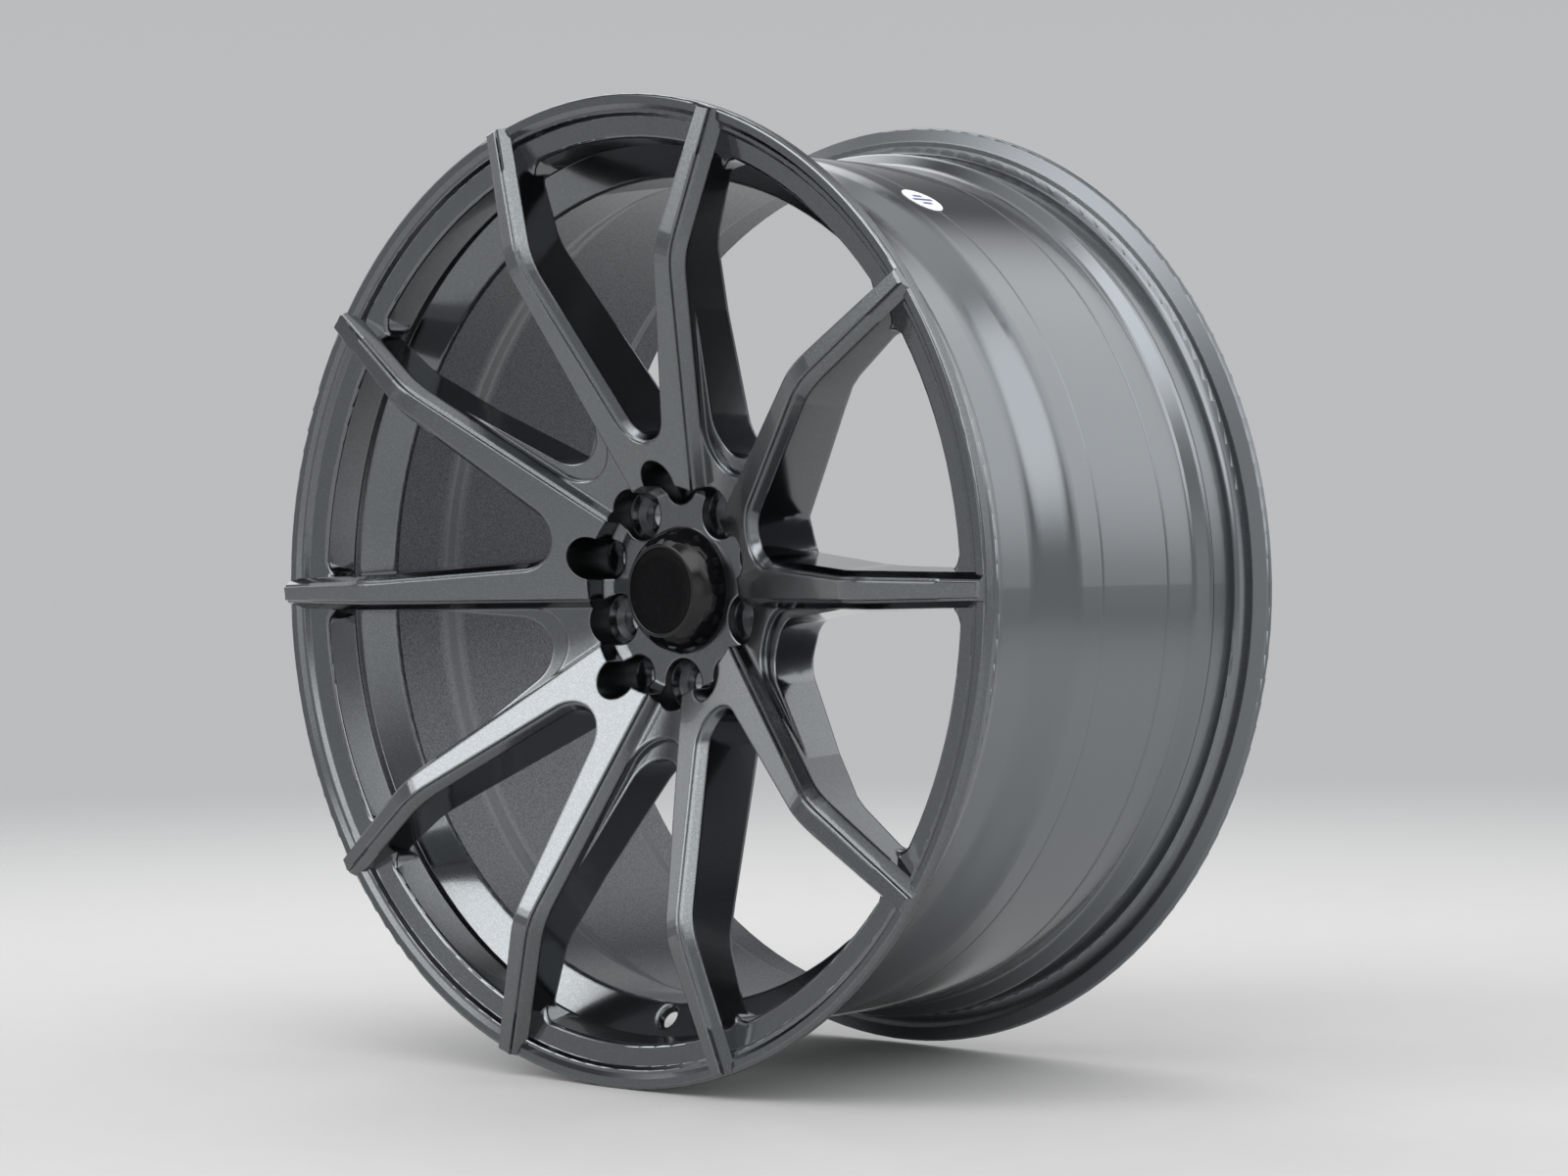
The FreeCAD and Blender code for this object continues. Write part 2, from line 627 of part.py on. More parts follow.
def envelope():
    """Everything in front of the spokes' backs, out to the tips."""
    back = FRONT + SPOKE_BACK_RIM_DEPTH
    lip_back = FRONT + FRONT_LIP_WIDTH - EDGE_ROUND
    lip_mid = LIP_RADIUS - LIP_INNER_TAPER / 2
    corners = [
        (0, -FAR),
        (TIP_RADIUS - TIP_CHAMFER, -FAR),
        (TIP_RADIUS - TIP_CHAMFER, TIP_Y),
        (TIP_RADIUS, TIP_Y + TIP_CHAMFER),
        (TIP_RADIUS, lip_back),
        (BEAD_SEAT_RADIUS, lip_back),
        (lip_mid, lip_back + SPOKE_ROOT_RADIUS),
        (lip_mid, back + SPOKE_ROOT_RADIUS),
        (lip_mid - SPOKE_TOE_RADIUS, back, SPOKE_TOE_RADIUS),
        (SPOKE_BACK_KNEE_RADIUS + SPOKE_BACK_FLAT, back, SPOKE_ROOT_RADIUS),
        (SPOKE_BACK_KNEE_RADIUS, FRONT + SPOKE_BACK_KNEE_DEPTH, SPOKE_ROOT_RADIUS),
        (SPOKE_BACK_HUB_RADIUS, FRONT + SPOKE_BACK_HUB_DEPTH, SPOKE_TOE_RADIUS),
        (HUB_PAD_RADIUS, 0),
        (0, 0),
    ]
    return spin(corners)


def centre_disc():
    """Spokes, valley webs and hub, before the holes are drilled."""
    hub = spin([
        (0, HUB_FACE - HUB_RECESS_CHAMFER),
        (HUB_PAD_RADIUS, HUB_FACE - HUB_RECESS_CHAMFER),
        (HUB_PAD_RADIUS, BLOCK_BACK),
        (0, BLOCK_BACK),
    ])
    pair_angle = math.degrees(HALF_STEP)
    solids = [hub]
    solids += around(spoke_pair(), pair_angle)
    for web in (saddle(), valley_ledge()):
        solids += around(web, 3 * pair_angle)
    for corner in window_corners():
        solids += around(corner, pair_angle)
    return solids[0].multiFuse(solids[1:]).common(envelope())


def lug_cut(circle, pocket):
    """Cutter for one lug hole: socket pocket, conical seat and bolt hole."""
    seat_end = -LUG_SEAT_LEFT
    seat_start = seat_end - (pocket - LUG_HOLE_RADIUS) / math.tan(math.radians(LUG_SEAT_HALF_ANGLE))
    cutter = spin([
        (0, -FAR),
        (pocket, -FAR),
        (pocket, seat_start),
        (LUG_HOLE_RADIUS, seat_end),
        (LUG_HOLE_RADIUS, FAR),
        (0, FAR),
    ])
    cutter.translate(FreeCAD.Vector(circle / 2, 0, 0))
    return cutter


def valve_cut():
    """Cutter for the valve hole and its chamfer, square to the ramp behind the lip."""
    ramp = FreeCAD.Vector(WELL_INNER_RADIUS - HOLLOW_RADIUS, WELL_START - HOLLOW_END, 0).normalize()
    out = FreeCAD.Vector(ramp.y, -ramp.x, 0)
    middle = FreeCAD.Vector((WELL_INNER_RADIUS + HOLLOW_RADIUS) / 2, (WELL_START + HOLLOW_END) / 2, 0)
    reach = 4 * BARREL_WALL
    hole = Part.makeCylinder(VALVE_HOLE_RADIUS, reach, middle - out * (reach / 2), out)
    wide = VALVE_HOLE_RADIUS + 2 * VALVE_CHAMFER
    chamfer = Part.makeCone(wide, VALVE_HOLE_RADIUS, 2 * VALVE_CHAMFER, middle - out * VALVE_CHAMFER, out)
    return turned(hole.fuse(chamfer), VALVE_ANGLE)


def wheel_casting():
    """Rim, spokes and hub as one casting with its machined holes."""
    pair_angle = math.degrees(HALF_STEP)
    recess = spin([
        (0, -FAR),
        (HUB_RECESS_RADIUS, -FAR),
        (HUB_RECESS_RADIUS, HUB_FACE - HUB_RECESS_CHAMFER),
        (HUB_RECESS_RADIUS - HUB_RECESS_CHAMFER, HUB_FACE),
        (0, HUB_FACE),
    ])
    bore = spin([
        (0, -FAR),
        (CAP_BORE_RADIUS, -FAR),
        (CAP_BORE_RADIUS, CAP_GROOVE_FRONT),
        (CAP_BORE_RADIUS + CAP_GROOVE_DEPTH, CAP_GROOVE_FRONT),
        (CAP_BORE_RADIUS + CAP_GROOVE_DEPTH, -CAP_GROOVE_BACK),
        (CAP_BORE_RADIUS, -CAP_GROOVE_BACK),
        (CAP_BORE_RADIUS, -CENTRE_BORE_LENGTH),
        (CENTRE_BORE_RADIUS, -CENTRE_BORE_LENGTH),
        (CENTRE_BORE_RADIUS, -CENTRE_BORE_CHAMFER),
        (CENTRE_BORE_RADIUS + CENTRE_BORE_CHAMFER, 0),
        (CENTRE_BORE_RADIUS + CENTRE_BORE_CHAMFER, FAR),
        (0, FAR),
    ])
    cutters = [recess, bore, valve_cut()]
    cutters += around(lug_cut(PAD_BOLT_CIRCLE, PAD_POCKET_RADIUS), pair_angle)
    cutters += around(lug_cut(VALLEY_BOLT_CIRCLE, VALLEY_POCKET_RADIUS), 3 * pair_angle)
    casting = rim().fuse(centre_disc())
    for cutter in cutters:
        casting = casting.cut(cutter)
    return casting.removeSplitter().Solids[0]


CAP_FRONT = HUB_FACE - CAP_HEIGHT
LEG_RADIUS = CAP_BORE_RADIUS - LEG_CLEARANCE
LEG_INNER_RADIUS = LEG_RADIUS - LEG_WALL
HOOK_FRONT = CAP_GROOVE_FRONT + HOOK_CLEARANCE
LEG_END = HOOK_FRONT + LEG_HOOK_LENGTH
DISH_FLOOR = CAP_FRONT + CAP_DISH_DEPTH
DISH_RADIUS = CAP_FRONT_RADIUS - CAP_RIM_WIDTH
SPRING_Y = HOOK_FRONT + LEG_HOOK_LENGTH / 2
SPRING_RADIUS = LEG_INNER_RADIUS - SPRING_WIRE_RADIUS + SPRING_GROOVE_DEPTH


def centre_cap():
    """Moulded cap: a raised round front over a flange, with sprung legs that hook behind the bore."""
    shell = spin([
        (0, DISH_FLOOR),
        (DISH_RADIUS, DISH_FLOOR),
        (DISH_RADIUS, CAP_FRONT, CAP_RIM_INNER_ROUND),
        (CAP_FRONT_RADIUS, CAP_FRONT, CAP_RIM_OUTER_ROUND),
        (CAP_FLANGE_RADIUS - CAP_SHOULDER_INSET, CAP_FRONT + CAP_SHOULDER_DEPTH, CAP_SHOULDER_ROUND),
        (CAP_FLANGE_RADIUS, HUB_FACE - CAP_FLANGE_EDGE, CAP_FLANGE_ROUND),
        (CAP_FLANGE_RADIUS, HUB_FACE),
        (LEG_RADIUS, HUB_FACE),
        (LEG_RADIUS, HOOK_FRONT),
        (LEG_RADIUS + LEG_HOOK, HOOK_FRONT),
        (LEG_RADIUS, LEG_END),
        (LEG_INNER_RADIUS, LEG_END),
        (LEG_INNER_RADIUS, HUB_FACE - CAP_WALL * 2, CAP_WALL),
        (DISH_RADIUS - CAP_WALL, DISH_FLOOR + CAP_WALL, CAP_WALL),
        (0, DISH_FLOOR + CAP_WALL),
    ])
    groove = Part.makeTorus(SPRING_RADIUS, SPRING_WIRE_RADIUS, FreeCAD.Vector(0, SPRING_Y, 0), AXLE)
    slots = []
    for i in range(LEG_COUNT):
        slot = Part.makeBox(
            CAP_FLANGE_RADIUS, FAR, LEG_SLOT_WIDTH,
            FreeCAD.Vector(0, HUB_FACE + CAP_WALL, -LEG_SLOT_WIDTH / 2))
        slots.append(turned(slot, 360.0 * (i + 0.5) / LEG_COUNT))
    return shell.cut([groove] + slots).Solids[0]


def cap_badge():
    """Plain disc, hollowed like a shallow bowl, that lies in the dish of the cap."""
    radius = DISH_RADIUS - BADGE_CLEARANCE
    bottom = DISH_FLOOR - BADGE_THICKNESS
    return spin([
        (0, bottom),
        (BADGE_BOWL_RADIUS, bottom, BADGE_BOWL_ROUND),
        (radius, bottom - BADGE_BOWL_DEPTH, BADGE_ROUND),
        (radius, DISH_FLOOR),
        (0, DISH_FLOOR),
    ])


def cap_spring_ring():
    """Wire ring in the groove inside the legs."""
    return Part.makeTorus(SPRING_RADIUS, SPRING_WIRE_RADIUS, FreeCAD.Vector(0, SPRING_Y, 0), AXLE)


def inspection_sticker():
    """Thin oval of paper that follows the barrel."""
    oval = Part.Ellipse(ORIGIN, STICKER_HALF_LENGTH, STICKER_HALF_WIDTH).toShape()
    face = Part.Face(Part.Wire([oval]))
    face.rotate(ORIGIN, FreeCAD.Vector(0, 0, 1), 90)
    face.rotate(ORIGIN, FreeCAD.Vector(0, 1, 0), 90)
    face.rotate(ORIGIN, FreeCAD.Vector(1, 0, 0), 90)
    face.translate(FreeCAD.Vector(0, FRONT + STICKER_PLACE, 0))
    column = face.extrude(FreeCAD.Vector(FAR, 0, 0))
    paper = spin([
        (BARREL_RADIUS, FRONT),
        (BARREL_RADIUS + STICKER_THICKNESS, FRONT),
        (BARREL_RADIUS + STICKER_THICKNESS, REAR),
        (BARREL_RADIUS, REAR),
    ])
    return turned(paper.common(column).Solids[0], STICKER_ANGLE)


PIECES = {
    "wheel_casting": wheel_casting,
    "centre_cap": centre_cap,
    "cap_badge": cap_badge,
    "cap_spring_ring": cap_spring_ring,
    "inspection_sticker": inspection_sticker,
}

os.makedirs("parts", exist_ok=True)
for name, make in PIECES.items():
    shape = make()
    shape.exportStep("parts/" + name + ".step")
    print(name, shape.ShapeType, "valid", shape.isValid(), round(shape.Volume / 1000, 1), "cm3")
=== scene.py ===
# %% [markdown]
# # A gunmetal alloy wheel, dressed in Blender
#
# The solids of the wheel come from a CAD model and are already the right shape and size.
# This lesson gives them their looks: a metallic lacquer, a satin turned barrel, gloss black
# plastic and a paper sticker. Then it sets a plain studio around them.
# Everything is in metres. The axle runs along Y, the street side faces -Y and Z is up.

# %% Load the frame
import bpy
import math
from mathutils import Matrix, Vector


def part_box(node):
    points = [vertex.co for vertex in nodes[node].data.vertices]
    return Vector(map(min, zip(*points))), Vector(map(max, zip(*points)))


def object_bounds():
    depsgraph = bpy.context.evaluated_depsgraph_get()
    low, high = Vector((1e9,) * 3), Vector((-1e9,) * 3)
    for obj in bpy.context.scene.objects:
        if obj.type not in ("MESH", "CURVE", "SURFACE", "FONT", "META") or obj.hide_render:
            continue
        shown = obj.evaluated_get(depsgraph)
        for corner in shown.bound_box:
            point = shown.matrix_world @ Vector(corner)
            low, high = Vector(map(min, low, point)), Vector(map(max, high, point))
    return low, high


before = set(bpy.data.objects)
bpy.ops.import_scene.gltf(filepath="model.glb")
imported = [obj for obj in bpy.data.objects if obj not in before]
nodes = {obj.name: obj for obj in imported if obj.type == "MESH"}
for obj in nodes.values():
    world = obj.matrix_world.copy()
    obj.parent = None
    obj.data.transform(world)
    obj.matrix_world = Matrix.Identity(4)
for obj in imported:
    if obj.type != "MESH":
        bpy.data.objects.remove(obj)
cad_low, cad_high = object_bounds()
print("pieces:", sorted(nodes))
print("box:", [round(v, 4) for v in (*cad_low, *cad_high)])

# %% [markdown]
# ## Shader sums as Python sums
#
# A procedural finish is mostly arithmetic on positions. In the node editor, each sum is a box
# with wires. Here one small class holds an output socket, and Python's own operators add the
# Math nodes. Every other kind of node comes from its one method, `node`, which takes the
# node's type, its settings and what goes into its sockets.

# %% A socket that can do sums
class Signal:
    """One output socket of a tree of nodes, for use in Python expressions."""

    def __init__(self, tree, socket=None):
        self.tree = tree
        self.socket = socket

    def node(self, kind, settings=None, sockets=None, out=0):
        """Adds a node, sets it up, fills its sockets and returns one of its outputs."""
        made = self.tree.nodes.new("ShaderNode" + kind)
        for name, value in (settings or {}).items():
            setattr(made, name, value)
        for name, value in (sockets or {}).items():
            if isinstance(value, Signal):
                self.tree.links.new(value.socket, made.inputs[name])
            else:
                made.inputs[name].default_value = value
        return Signal(self.tree, made.outputs[out])

    def sum(self, operation, *others):
        """Math node on this socket and others."""
        sockets = {0: self}
        for place, other in enumerate(others):
            sockets[place + 1] = other
        return self.node("Math", {"operation": operation}, sockets)

    def __add__(self, other):
        return self.sum("ADD", other)

    def __radd__(self, other):
        return self.sum("ADD", other)

    def __sub__(self, other):
        return self.sum("SUBTRACT", other)

    def __rsub__(self, other):
        return self.node("Math", {"operation": "SUBTRACT"}, {0: other, 1: self})

    def __mul__(self, other):
        return self.sum("MULTIPLY", other)

    def __rmul__(self, other):
        return self.sum("MULTIPLY", other)

    def __truediv__(self, other):
        return self.sum("DIVIDE", other)

    def __rtruediv__(self, other):
        return self.node("Math", {"operation": "DIVIDE"}, {0: other, 1: self})

    def __pow__(self, other):
        return self.sum("POWER", other)

    def __abs__(self):
        return self.sum("ABSOLUTE")

    def step(self, low, high):
        """Rises smoothly from 0 at low to 1 at high, or falls where low is the larger."""
        if low > high:
            return 1 - self.step(high, low)
        sockets = {"Value": self, "From Min": low, "From Max": high}
        return self.node("MapRange", {"interpolation_type": "SMOOTHSTEP"}, sockets)

    def parts(self):
        """The x, y and z of a vector socket."""
        split = self.node("SeparateXYZ", sockets={0: self}).socket.node.outputs
        return [Signal(self.tree, socket) for socket in split]

    def blend(self, low, high):
        """Colour between two others, with this socket as the share of the second."""
        colours = {0: self, 6: low, 7: high}
        return self.node("Mix", {"data_type": "RGBA"}, colours, out=2)


print("Signal:", Signal.__doc__)

# %% [markdown]
# ## A new material
#
# Each finish starts the same way: an empty material with one Principled shader, whose
# unchanging values are set on its own sockets, and the point of the surface in the wheel's own
# frame. The point could come from an unwrapped map, but the pieces have none and need none:
# radius and angle round the axle suit a turned body, and both come from the point.

# %% Start of a finish
def new_finish(name, **constants):
    """A material, the Signal that adds its nodes, and its shader node."""
    material = bpy.data.materials.new(name)
    material.use_nodes = True
    tree = material.node_tree
    tree.nodes.clear()
    shader = tree.nodes.new("ShaderNodeBsdfPrincipled")
    output = tree.nodes.new("ShaderNodeOutputMaterial")
    tree.links.new(shader.outputs[0], output.inputs[0])
    for socket, value in constants.items():
        shader.inputs[socket.replace("_", " ")].default_value = value
    return material, Signal(tree), shader


def feed(shader, **signals):
    """Links varying signals to the shader's sockets."""
    for socket, signal in signals.items():
        signal.tree.links.new(signal.socket, shader.inputs[socket.replace("_", " ")])


class Place:
    """Where a point of the surface is: x, y, z, radius and angle round the axle."""

    def __init__(self, start):
        self.point = start.node("TexCoord", out="Object")
        self.x, self.y, self.z = self.point.parts()
        self.radius = (self.x * self.x + self.z * self.z) ** 0.5
        self.angle = self.z.sum("ARCTAN2", self.x)


def dress(name, material):
    """Puts a material on a CAD piece."""
    piece = nodes[name]
    piece.data.materials.clear()
    piece.data.materials.append(material)
    print(name, "wears", material.name)


print("finishes to make for", len(nodes), "pieces")

# %% [markdown]
# ## Sizes of the zones
#
# One casting gets several finishes, so its paint has to know where one surface ends and the next
# begins. The limits could be painted on by hand. The wheel is a turned body, though, so a radius
# and a place along the axle say almost everything, and such limits stay sharp at any distance.
# These are workshop sizes of the wheel itself, measured from its axle and its mounting face.

# %% Where the zones begin and end
MM = 0.001

FRONT_SEAT = -72.95 * MM
FRONT_EDGE = -80.5 * MM
FRONT_EDGE_RADIUS = 255.5 * MM
REAR_FLANGE = 134.95 * MM
REAR_FLANGE_RADIUS = 241.5 * MM
INSIDE_START = -39.0 * MM
INSIDE_RADIUS = 210.0 * MM
BARE_FACE_START = -0.4 * MM
BARE_FACE = -0.1 * MM
HUB_PAD_RADIUS = 76.5 * MM

PAIRS = 5
PAD_HOLE_ANGLE = math.radians(18.0)
PAD_HOLE_PLACE = 57.15 * MM
PAD_POCKET_RADIUS = 11.4 * MM
PAD_SEAT_START = -17.2 * MM
VALLEY_HOLE_ANGLE = math.radians(54.0)
VALLEY_HOLE_PLACE = 50.0 * MM
VALLEY_POCKET_RADIUS = 13.8 * MM
VALLEY_SEAT_START = -21.3 * MM
SEAT_OUTER_RADIUS = 11.4 * MM
SEAT_INNER_RADIUS = 9.6 * MM
lug_circles = [round(2 * place / MM, 1) for place in (PAD_HOLE_PLACE, VALLEY_HOLE_PLACE)]
print("lug circles in mm:", lug_circles)

# %% [markdown]
# ## Zones of the casting
#
# The wheel is one casting, but a workshop doesn't leave it the same all over. The outside of the
# barrel is turned before it is painted. Its inside keeps the skin of the mould. The lug pockets
# are deep and get little paint, so their gloss and coat are low, and their near-black colour is
# painted shade. The seats of the wider five are cut bare for their nuts. The mounting face is cut
# last and shows bare metal too. Clear lacquer runs off the thin edges of the flanges, so they are
# duller than the rest.
# Each zone could be a choice of faces with a material of its own. A mask worked out from the
# place of the point leaves the mesh alone, and its edge can be soft.

# %% Masks of the zones
FACING_OUT = (0.25, 0.55)
FACING_IN = (-0.55, -0.85)
FADE = 2 * MM
SEAT_FADE = 0.4 * MM
POCKET_FADE = 0.5 * MM
POCKET_INSET = 0.3 * MM


def lug_distance(place, first_angle, circle):
    """Distance to the nearest of five lug axes on a circle."""
    step = 2 * math.pi / PAIRS
    turned = (place.angle - first_angle + step / 2).sum("FLOORED_MODULO", step) - step / 2
    along = place.radius * turned.sum("COSINE") - circle
    across = place.radius * turned.sum("SINE")
    return (along * along + across * across) ** 0.5


def lug_pocket(place, distance, pocket_radius, seat_start):
    """Mask of the lug pockets' walls, in front of their seats."""
    within = distance.step(pocket_radius + POCKET_FADE, pocket_radius - POCKET_INSET)
    return within * place.y.step(seat_start + POCKET_FADE, seat_start - POCKET_FADE)


class Zones:
    """Masks of the casting, each 1 in its zone and 0 elsewhere."""

    def __init__(self, start, place):
        across, _, upward = start.node("NewGeometry", out="Normal").parts()
        outward = (across * place.x + upward * place.z) / place.radius
        self.barrel = outward.step(*FACING_OUT) * place.y.step(FRONT_SEAT, FRONT_SEAT + FADE)

        hollow = outward.step(*FACING_IN) * place.radius.step(INSIDE_RADIUS, INSIDE_RADIUS + FADE)
        self.inside = hollow * place.y.step(INSIDE_START, INSIDE_START + FADE)

        pads = lug_distance(place, PAD_HOLE_ANGLE, PAD_HOLE_PLACE)
        valleys = lug_distance(place, VALLEY_HOLE_ANGLE, VALLEY_HOLE_PLACE)
        in_pad = lug_pocket(place, pads, PAD_POCKET_RADIUS, PAD_SEAT_START)
        in_valley = lug_pocket(place, valleys, VALLEY_POCKET_RADIUS, VALLEY_SEAT_START)
        self.pocket = in_pad.sum("MAXIMUM", in_valley)

        cone = valleys.step(SEAT_OUTER_RADIUS + SEAT_FADE, SEAT_OUTER_RADIUS)
        cone = cone * valleys.step(SEAT_INNER_RADIUS - SEAT_FADE, SEAT_INNER_RADIUS)
        self.seat = cone * place.y.step(VALLEY_SEAT_START, VALLEY_SEAT_START + FADE / 2)

        rear_flange = place.radius.step(REAR_FLANGE_RADIUS, REAR_FLANGE_RADIUS + FADE)
        rear_flange = rear_flange * place.y.step(REAR_FLANGE, REAR_FLANGE + 2 * FADE)
        front_edge = place.radius.step(FRONT_EDGE_RADIUS, FRONT_EDGE_RADIUS + FADE / 2)
        front_edge = front_edge * place.y.step(FRONT_EDGE, FRONT_EDGE + FADE / 2)
        self.flange_edges = rear_flange.sum("MAXIMUM", front_edge)

        back = place.y.step(BARE_FACE_START, BARE_FACE)
        self.mounting_face = back * place.radius.step(HUB_PAD_RADIUS + FADE / 2, HUB_PAD_RADIUS)


print("zones round", PAIRS, "pads and", PAIRS, "valleys")

# %% [markdown]
# ## Gunmetal lacquer
#
# A painted alloy wheel carries a metallic base coat with fine flakes and a clear coat over it.
# The flakes could be an image, but cells of a Voronoi texture do it at any scale: each cell
# takes its own shade and leans its own way a little, so single flakes light up.

# %% Colour of the lacquer
LACQUER = (0.140, 0.150, 0.156, 1.0)
LACQUER_FLAKE = (0.182, 0.195, 0.203, 1.0)
BARREL_LACQUER = (0.184, 0.199, 0.212, 1.0)
INSIDE_LACQUER = (0.036, 0.041, 0.048, 1.0)
INSIDE_GRAIN = (0.082, 0.091, 0.104, 1.0)
# Near-black painted shade for the deep lug pockets, not a paint colour of their own.
POCKET_PAINTED_SHADE = (0.012, 0.013, 0.014, 1.0)
SEAT_METAL = (0.27, 0.28, 0.29, 1.0)
BARE_METAL = (0.56, 0.57, 0.58, 1.0)
FLAKE_SIZE = 0.45 * MM
PALE_FLAKES = (0.55, 1.0)
GRAIN_SIZE = 1.1 * MM
GRAIN_TOPS = (0.35, 0.65)


def noise(place, size, detail):
    """Noise with lumps of about this size."""
    sockets = {"Vector": place.point, "Scale": 1 / size, "Detail": detail}
    return place.point.node("TexNoise", sockets=sockets)


def flake_cells(place):
    """One random colour for each flake, which also says which way it leans."""
    sockets = {"Vector": place.point, "Scale": 1 / FLAKE_SIZE}
    return place.point.node("TexVoronoi", sockets=sockets, out="Color")


def lacquer_colour(zones, flakes, grain):
    """Flaked paint, with each zone's colour laid over it and painted shade in the lug pockets."""
    shade = flakes.node("SeparateColor", sockets={0: flakes})
    colour = shade.step(*PALE_FLAKES).blend(LACQUER, LACQUER_FLAKE)
    colour = zones.barrel.blend(colour, BARREL_LACQUER)
    mould_skin = grain.step(*GRAIN_TOPS).blend(INSIDE_LACQUER, INSIDE_GRAIN)
    colour = zones.inside.blend(colour, mould_skin)
    # Painted shade: the lug pockets are coloured near-black for the shade inside them.
    colour = zones.pocket.blend(colour, POCKET_PAINTED_SHADE)
    colour = zones.seat.blend(colour, SEAT_METAL)
    return zones.mounting_face.blend(colour, BARE_METAL)


print("flakes of", FLAKE_SIZE / MM, "mm")

# %% [markdown]
# ## Relief of the lacquer
#
# Nothing sprayed is quite flat. Slow noise is the orange peel that lacquer always shows, noise
# stretched round the axle is the turning marks of the barrel, and finer noise is the mould's
# skin inside it. The edges of the disc are softened by the thickness of the paint. They could
# be filleted in the solid, but paint only rounds them a little, so a Bevel node does it.

# %% Heights and directions of the surface
PEEL_SIZE = 3.0 * MM
PEEL_HEIGHT = 0.001 * MM
MARK_SIZE = 0.35 * MM
MARK_HEIGHT = 0.005 * MM
MARKS_ROUND = 0.012
GRAIN_HEIGHT = 0.05 * MM
FLAKE_LEAN = 0.010
EDGE_ROUND = 2.2 * MM
LIP_RADIUS = 236.0 * MM
LIP_FADE = 4 * MM


def turning_marks(place):
    """Fine lines that run round the axle."""
    along = {0: place.angle * MARKS_ROUND, 1: place.y / MARK_SIZE, 2: place.radius / MARK_SIZE}
    ring = place.point.node("CombineXYZ", sockets=along)
    sockets = {"Vector": ring, "Scale": 1.0, "Detail": 4.0, "Roughness": 0.6}
    return ring.node("TexNoise", sockets=sockets)


def lacquer_height(place, zones, grain):
    """Orange peel on the paint, turning marks where it was cut and grain inside."""
    turned = zones.barrel.sum("MAXIMUM", zones.mounting_face)
    height = noise(place, PEEL_SIZE, 1.0) * (1 - turned) * PEEL_HEIGHT
    height = height + turning_marks(place) * turned * MARK_HEIGHT
    return height + grain * zones.inside * GRAIN_HEIGHT


def lacquer_normal(place, zones, flakes, height):
    """Direction of the surface, with soft edges on the disc, leaning flakes and the relief."""
    start = place.point
    lean = start.node("VectorMath", {"operation": "SUBTRACT"}, {0: flakes, 1: (0.5, 0.5, 0.5)})
    lean = start.node("VectorMath", {"operation": "SCALE"}, {0: lean, "Scale": FLAKE_LEAN})
    plain = start.node("NewGeometry", out="Normal")
    soft = start.node("Bevel", {"samples": 8}, {"Radius": EDGE_ROUND})
    disc = place.radius.step(LIP_RADIUS, LIP_RADIUS - LIP_FADE) * (1 - zones.inside)
    edged = start.node("Mix", {"data_type": "VECTOR"}, {0: disc, 4: plain, 5: soft}, out=1)
    tilted = start.node("VectorMath", {"operation": "ADD"}, {0: edged, 1: lean})
    tilted = start.node("VectorMath", {"operation": "NORMALIZE"}, {0: tilted})
    sockets = {"Height": height, "Distance": 1.0, "Strength": 1.0, "Normal": tilted}
    return start.node("Bump", sockets=sockets)


print("edges softened by", EDGE_ROUND / MM, "mm")

# %% [markdown]
# ## The casting in its lacquer
#
# Colour and relief meet in one shader. Its clear coat could be a second, glossier shader mixed
# in, but the Principled shader has a coat of its own. Gloss drifts slowly over the wheel, as a
# spray gun leaves it. It is lower in the pockets, on the mould's skin, on the bare seats and at
# the flanges' edges, and the coat is thin in the pockets and at those edges.

# %% Lacquer on the casting
DRIFT_SIZE = 111 * MM
PAINT_ROUGHNESS = 0.13
DRIFT_ROUGHNESS = 0.04
BARREL_ROUGHNESS = 0.02
DULL_ROUGHNESS = 0.25
SEAT_ROUGHNESS = 0.2
EDGE_ROUGHNESS = 0.17
INSIDE_PIGMENT = 0.25
COAT = 0.5
COAT_LOST = 0.45


def gunmetal_lacquer():
    """The finish of the casting, from its colour, gloss and relief."""
    material, start, shader = new_finish("gunmetal_lacquer", Coat_Roughness=0.03, Coat_IOR=1.5)
    place = Place(start)
    zones = Zones(start, place)
    flakes = flake_cells(place)
    grain = noise(place, GRAIN_SIZE, 2.0)
    rough = PAINT_ROUGHNESS + noise(place, DRIFT_SIZE, 3.0) * DRIFT_ROUGHNESS
    rough = rough + zones.barrel * BARREL_ROUGHNESS + zones.seat * SEAT_ROUGHNESS
    rough = rough + zones.pocket * DULL_ROUGHNESS + zones.inside * DULL_ROUGHNESS
    rough = rough + zones.flange_edges * EDGE_ROUGHNESS
    feed(
        shader,
        Base_Color=lacquer_colour(zones, flakes, grain),
        Metallic=1 - zones.inside * INSIDE_PIGMENT,
        Roughness=rough,
        Coat_Weight=COAT - zones.flange_edges * COAT_LOST - zones.pocket * COAT_LOST,
        Normal=lacquer_normal(place, zones, flakes, lacquer_height(place, zones, grain)))
    return material


dress("wheel_casting", gunmetal_lacquer())

# %% [markdown]
# ## Black plastic of the cap and its badge
#
# The cap is moulded in gloss black, and the badge in its dish is a deeper, quieter black.
# Moulded plastic is never quite flat, so a slow swell bends its reflections, and a little dust
# varies its gloss. An image of dust could do it, but noise has no seam and needs no map. One
# function makes both blacks.

# %% Gloss plastic
DUST_SIZE = 3.8 * MM
SPECK_SIZE = 0.67 * MM
SWELL_SIZE = 14 * MM
SPECKS = (0.30, 0.42)
SPECK_SHARE = 0.5
POLISH = 0.05
SPECK_ROUGHNESS = 0.12
DUST_ROUGHNESS = 0.03


